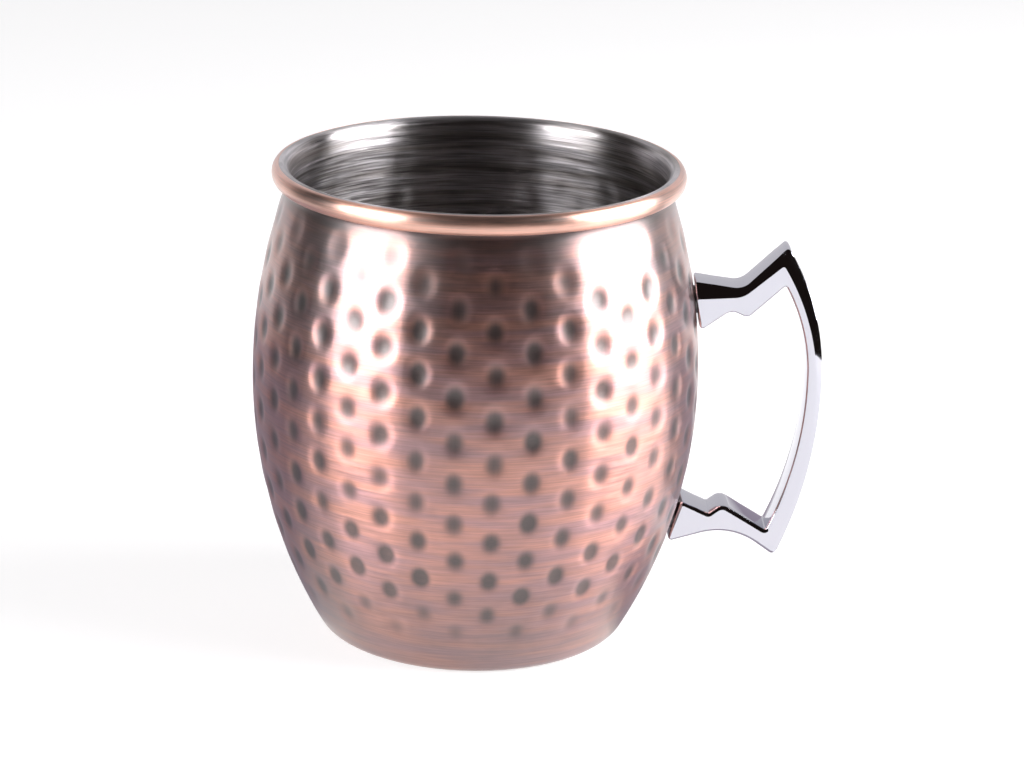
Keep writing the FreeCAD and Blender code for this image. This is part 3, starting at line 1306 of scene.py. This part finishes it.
@dataclass(frozen=True)
class Card:
    """A curved card about the mug that only reflections show.

    Attributes:
        name: The card's name.
        sector: The azimuths where it starts and ends, in degrees from the camera's side towards the handle.
        inner: Reach and height of its first edge, in metres.
        outer: Reach and height of its second edge, in metres.
        tint: The card's colour, as sRGB hex.
        soft: The share of the card, at each end, over which its colour fades to white.
        steps: Steps along the card.
    """

    name: str
    sector: Point
    inner: Point
    outer: Point
    tint: str
    soft: float
    steps: int = 48

    def place(self) -> None:
        """Sets the card up."""
        material = bpy.data.materials.new(self.name)
        material.use_nodes = True
        tree = material.node_tree
        faded = add_node(tree, "ShaderNodeAttribute", attribute_name="fade").outputs["Fac"]
        tones = {0: faded, 6: from_hex(self.tint), 7: from_hex(WHITE)}
        colour = add_node(tree, "ShaderNodeMix", tones, data_type="RGBA").outputs[2]
        wire(tree, tree.nodes["Principled BSDF"], {
            "Base Color": from_hex("#000000"),
            "Specular IOR Level": 0.0,
            "Emission Color": colour,
            "Emission Strength": 1.0,
        })
        corners, fades = [], []
        for step in range(self.steps + 1):
            share = step / self.steps
            azimuth = math.radians(self.sector[0] + (self.sector[1] - self.sector[0]) * share)
            for reach, height in (self.inner, self.outer):
                corners.append((reach * math.sin(azimuth), -reach * math.cos(azimuth), height))
                fades.append(max(0.0, 1.0 - min(share, 1.0 - share) / self.soft))
        mesh = bpy.data.meshes.new(self.name)
        mesh.from_pydata(corners, [], [(2 * n, 2 * n + 1, 2 * n + 3, 2 * n + 2) for n in range(self.steps)])
        mesh.attributes.new("fade", "FLOAT", "POINT").data.foreach_set("value", fades)
        mesh.materials.append(material)
        card = bpy.data.objects.new(self.name, mesh)
        card.visible_camera = card.visible_diffuse = card.visible_shadow = False
        bpy.context.scene.collection.objects.link(card)


@dataclass(frozen=True)
class Studio:
    """A pale table in a room that is white behind the mug and dark behind the camera.

    Attributes:
        floor_size: Side of the table, in metres.
        floor_glow: The table's own light, as from a lit sheet of paper.
        dark: The room's colour behind the camera, as sRGB hex.
        light: The room's colour behind the mug, as sRGB hex.
        paper: The table's colour, as sRGB hex.
        cards: The curved cards about the mug.
        softboxes: A tall softbox to each side of the camera.
        lens: The camera's focal length, in mm.
        camera_place: Where the camera stands, in metres.
        camera_turn: How far it is turned aside, tipped down and rolled, in degrees.
    """

    floor_size: float = 12.0
    floor_glow: float = 0.71
    dark: str = DARK
    light: str = "#DAD8DC"
    paper: str = "#B0AFB0"
    cards: tuple[Card, ...] = (
        Card("left_card", (-175, -52), (0.034, 0.001), (0.12, 0.048), "#A096A2", 0.28),
        Card("foot_card", (66, 112), (0.032, 0.0005), (0.07, 0.0005), "#B8AEBA", 0.25),
        Card("right_card", (100, 129), (0.036, 0.001), (0.115, 0.045), "#A89EAC", 0.25),
        Card("dark_surround", (-130, 130), (0.34, 0.001), (9.0, 0.001), DARK, 0.08),
    )
    softboxes: tuple[Softbox, ...] = (
        Softbox("left_softbox", -60, 16, 1.0, (0.62, 0.66), 13.0),
        Softbox("right_softbox", 83, 20, 0.8, (0.66, 0.66), 16.5),
    )
    lens: float = 107.7
    camera_place: tuple[float, float, float] = (0.0, -0.6092, 0.2553)
    camera_turn: tuple[float, float, float] = (0.722, 18.437, -1.337)

    def floor(self) -> bpy.types.Object:
        """Lays the table under the mug."""
        half = self.floor_size / 2
        mesh = bpy.data.meshes.new("table")
        corners = [(-half, -half, 0), (half, -half, 0), (half, half, 0), (-half, half, 0)]
        mesh.from_pydata(corners, [], [(0, 1, 2, 3)])
        table = bpy.data.objects.new("table", mesh)
        bpy.context.scene.collection.objects.link(table)
        material = bpy.data.materials.new("white_paper")
        material.use_nodes = True
        wire(material.node_tree, material.node_tree.nodes["Principled BSDF"], {
            "Base Color": from_hex(self.paper),
            "Roughness": 0.9,
            "Specular IOR Level": 0.0,
            "Emission Color": from_hex(WHITE),
            "Emission Strength": self.floor_glow,
        })
        mesh.materials.append(material)
        return table

    def room(self) -> None:
        """Surrounds the table with the room, which the camera itself sees as white."""
        world = bpy.data.worlds.new("room")
        bpy.context.scene.world = world
        world.use_nodes = True
        tree = world.node_tree
        tree.nodes.clear()
        way = add_node(tree, "ShaderNodeTexCoord").outputs["Generated"]
        split = add_node(tree, "ShaderNodeSeparateXYZ", (way,)).outputs
        known = {"away": split["Y"], "up": split["Z"]}
        work_out(tree, known, [
            ("behind", Step.EASE, "away", 0.45, 0.8, 0.0, 1.0),
            ("above", Step.EASE, "up", 0.75, 1.0, 0.0, 0.12),
            ("lit", Step.MAXIMUM, "behind", "above"),
        ])
        tones = {0: known["lit"], 6: from_hex(self.dark), 7: from_hex(self.light)}
        colour = add_node(tree, "ShaderNodeMix", tones, data_type="RGBA").outputs[2]
        lit, seen = [add_node(tree, "ShaderNodeBackground", {"Color": tone, "Strength": 1.0})
                     for tone in (colour, from_hex(WHITE))]
        camera = add_node(tree, "ShaderNodeLightPath").outputs["Is Camera Ray"]
        add_node(tree, "ShaderNodeOutputWorld", (add_node(tree, "ShaderNodeMixShader", (camera, lit, seen)),))

    def camera(self) -> bpy.types.Object:
        """Stands the camera in front of the mug, a little above it."""
        data = bpy.data.cameras.new("camera")
        data.lens = self.lens
        data.sensor_width = 36.0
        camera = bpy.data.objects.new("camera", data)
        bpy.context.scene.collection.objects.link(camera)
        yaw, pitch, roll = [math.radians(angle) for angle in self.camera_turn]
        ahead = Vector((math.sin(yaw) * math.cos(pitch), math.cos(yaw) * math.cos(pitch), -math.sin(pitch)))
        level = Vector((math.cos(yaw), -math.sin(yaw), 0.0))
        upright = level.cross(ahead)
        right = math.cos(roll) * level - math.sin(roll) * upright
        up = math.sin(roll) * level + math.cos(roll) * upright
        turned = Matrix((right, up, -ahead)).transposed().to_4x4()
        camera.matrix_world = Matrix.Translation(self.camera_place) @ turned
        bpy.context.scene.camera = camera
        return camera

    def build(self, middle: Vector) -> None:
        """Makes the whole studio round the mug.

        Args:
            middle: The mug's middle, in metres.
        """
        self.floor()
        for card in self.cards:
            card.place()
        self.room()
        for softbox in self.softboxes:
            softbox.place(middle)
        self.camera()
        bpy.context.scene.view_settings.view_transform = "Standard"


# --------------------------------------------------------------------------------------------------- main


def dress(frame: dict, node: str, material: bpy.types.Material) -> None:
    """Gives a solid that stays in sight its finish.

    Args:
        frame: The loaded frame.
        node: The solid's name.
        material: Its finish.
    """
    mesh = frame["nodes"][node].data
    mesh.materials.clear()
    mesh.materials.append(material)
    LOG.info("%s dressed in %s", node, material.name)


def report(piece: bpy.types.Object) -> None:
    """Logs a finished piece and its size."""
    piece.data.calc_loop_triangles()
    LOG.info("%s: %d triangles", piece.name, len(piece.data.loop_triangles))


def main() -> None:
    """Builds the mug's visible pieces and the studio."""
    logging.basicConfig(level=logging.INFO, format="%(name)s: %(message)s")
    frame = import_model()
    low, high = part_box("copper_skin")
    section = CupSection(height=round(high.z / MM, 1), belly_radius=round(high.x / MM, 1))
    cup = Cup(section, DimplePattern())
    copper = AntiqueCopper("antique_brushed_copper", "#C88A78", 0.34, dark="#42302C", cool="#A07A80",
                           bead="#F2BAA4")
    steel = BrushedStainless("brushed_stainless_steel", "#DCD8DA", 0.33, mark=(14.0, 0.35), anisotropy=0.92)
    chrome = PolishedChrome("polished_chrome_plating", "#CBCBD3", 0.03, wave=7.0, wave_depth=0.03)
    report(cup.copper_skin(copper))
    report(cup.steel_cup(steel))
    report(Handle().build(chrome))
    pin_steel = BrushedStainless("turned_pin_steel", "#9A9A9C", 0.3, mark=(2.0, 0.2), anisotropy=0.3)
    weld = WeldMetal("weld_metal", "#5A5452", 0.45, burnt="#241D1B")
    pins, beads = pin_steel.build(), weld.build()
    for end in ("upper", "lower"):
        dress(frame, f"{end}_weld_pin", pins)
        dress(frame, f"{end}_weld_bead", beads)
    Studio().build(Vector((0.0, 0.0, section.height * MM / 2)))


if __name__ == "__main__":
    main()
